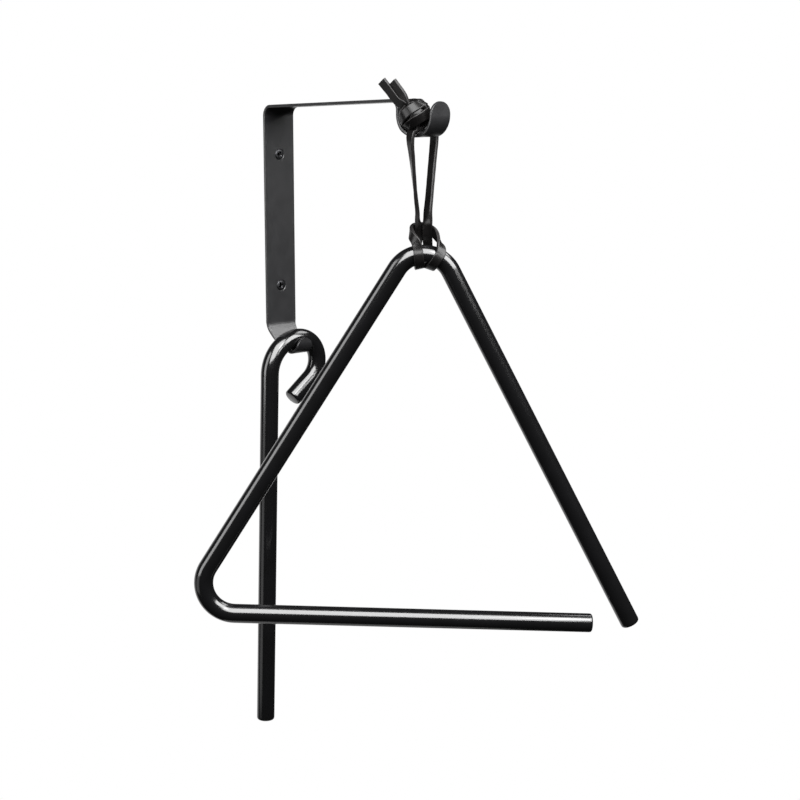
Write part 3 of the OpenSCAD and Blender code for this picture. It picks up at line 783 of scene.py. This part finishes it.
lens = {"at": Vector((-0.7462, -0.9815, 0.1069)), "along": Vector((0.6482, 0.7370, -0.1913)),
        "focal": 76.2, "sensor": 36.0}
backdrop = {"middle": (0.195, 0.917, -0.348), "fade": (0.72, 0.82), "white": "#ffffff", "room": "#2b2b2b"}
paper = {"radius": 0.22, "z": -0.9, "sides": 96, "tone": "#5c5c5c", "roughness": 0.9, "glow": 0.5}
boxDistance = 1.3
boxes = {
    "keyBox": {"toward": (-0.40, -0.45, 0.80), "aim": (0, -0.157, -0.27), "size": (1.1, 1.2),
               "power": 72, "roll": 0},
    "rightBox": {"toward": (0.22, -0.752, 0.612), "aim": (0, -0.12, -0.08), "size": (1.02, 0.9),
                 "power": 52, "roll": 15},
    "topBox": {"toward": (0.62, -0.19, 0.76), "aim": (0, -0.02, -0.08), "size": (0.6, 0.5),
               "power": 8, "roll": 0},
    "leftBox": {"toward": (-0.90, 0.275, 0.342), "aim": (0, -0.157, -0.16), "size": (0.6, 1.2),
                "power": 16, "roll": 0},
    "fillBox": {"toward": (-0.92, 0.32, -0.26), "aim": (0, -0.05, -0.22), "size": (0.8, 0.5),
                "power": 1.3, "roll": 0}}


def addCamera():
    camera = bpy.data.objects.new("camera", bpy.data.cameras.new("camera"))
    camera.data.lens = lens["focal"]
    camera.data.sensor_width = lens["sensor"]
    camera.location = lens["at"]
    camera.rotation_mode = "QUATERNION"
    camera.rotation_quaternion = lens["along"].to_track_quat("-Z", "Y")
    scene.collection.objects.link(camera)
    scene.camera = camera


def addSoftbox(name, look):
    # A soft box on the line from what it lights towards where it is mirrored
    lamp = bpy.data.lights.new(name, "AREA")
    lamp.shape = "RECTANGLE"
    lamp.size, lamp.size_y = look["size"]
    lamp.energy = look["power"]
    box = bpy.data.objects.new(name, lamp)
    way = Vector(look["toward"]).normalized()
    roll = Quaternion((0, 0, 1), math.radians(look["roll"]))
    box.location = Vector(look["aim"]) + boxDistance * way
    box.rotation_mode = "QUATERNION"
    box.rotation_quaternion = (-way).to_track_quat("-Z", "Y") @ roll
    box.visible_camera = False
    scene.collection.objects.link(box)


def addWorld():
    # All white to the camera; to what mirrors or passes light, white behind the bell in a dim room
    world = bpy.data.worlds.new("studio")
    scene.world = world
    world.use_nodes = True
    tree = world.node_tree
    rays = addNode(tree, "ShaderNodeLightPath").outputs
    way = addNode(tree, "ShaderNodeTexCoord").outputs["Generated"]
    ahead = addNode(tree, "ShaderNodeVectorMath", {1: backdrop["middle"]}, {0: way},
                    operation="DOT_PRODUCT")
    behind = addNode(tree, "ShaderNodeMapRange",
                     {"From Min": backdrop["fade"][0], "From Max": backdrop["fade"][1]},
                     {"Value": ahead.outputs["Value"]})
    mirrored = addNode(tree, "ShaderNodeMath",
                       links={0: rays["Is Glossy Ray"], 1: rays["Is Transmission Ray"]}, operation="MAXIMUM")
    shown = addNode(tree, "ShaderNodeMath", links={0: mirrored.outputs[0], 1: behind.outputs["Result"]},
                    operation="MULTIPLY")
    white = addNode(tree, "ShaderNodeMath", links={0: rays["Is Camera Ray"], 1: shown.outputs[0]},
                    operation="MAXIMUM")
    room = addNode(tree, "ShaderNodeMix",
                   {"A": hexColor(backdrop["room"]), "B": hexColor(backdrop["white"])},
                   {"Factor": white.outputs[0]}, data_type="RGBA")
    tree.links.new(room.outputs[2], tree.nodes["Background"].inputs["Color"])


def addFloor():
    # A round of pale paper well below the bell, white to the camera but for the shadow on it
    angles = [2 * math.pi * k / paper["sides"] for k in range(paper["sides"])]
    rim = [(paper["radius"] * math.cos(a), paper["radius"] * math.sin(a), paper["z"]) for a in angles]
    floor = bpy.data.meshes.new("floor")
    floor.from_pydata(rim, [], [tuple(range(paper["sides"]))])
    finish, tree, shader = newFinish("paleFloor")
    shader.inputs["Base Color"].default_value = hexColor(paper["tone"])
    shader.inputs["Roughness"].default_value = paper["roughness"]
    rays = addNode(tree, "ShaderNodeLightPath").outputs
    mirrored = addNode(tree, "ShaderNodeMath",
                       links={0: rays["Is Glossy Ray"], 1: rays["Is Transmission Ray"]}, operation="MAXIMUM")
    shown = addNode(tree, "ShaderNodeMath", links={0: rays["Is Camera Ray"], 1: mirrored.outputs[0]},
                    operation="MAXIMUM")
    glow = addNode(tree, "ShaderNodeMath", {1: paper["glow"]}, {0: shown.outputs[0]}, operation="MULTIPLY")
    tree.links.new(glow.outputs[0], shader.inputs["Emission Strength"])
    shader.inputs["Emission Color"].default_value = hexColor(backdrop["white"])
    floor.materials.append(finish)
    newObject("floor", floor)


addCamera()
addWorld()
addFloor()
for name, look in boxes.items():
    addSoftbox(name, look)

scene.view_settings.view_transform = "Standard"
print("scene ready")
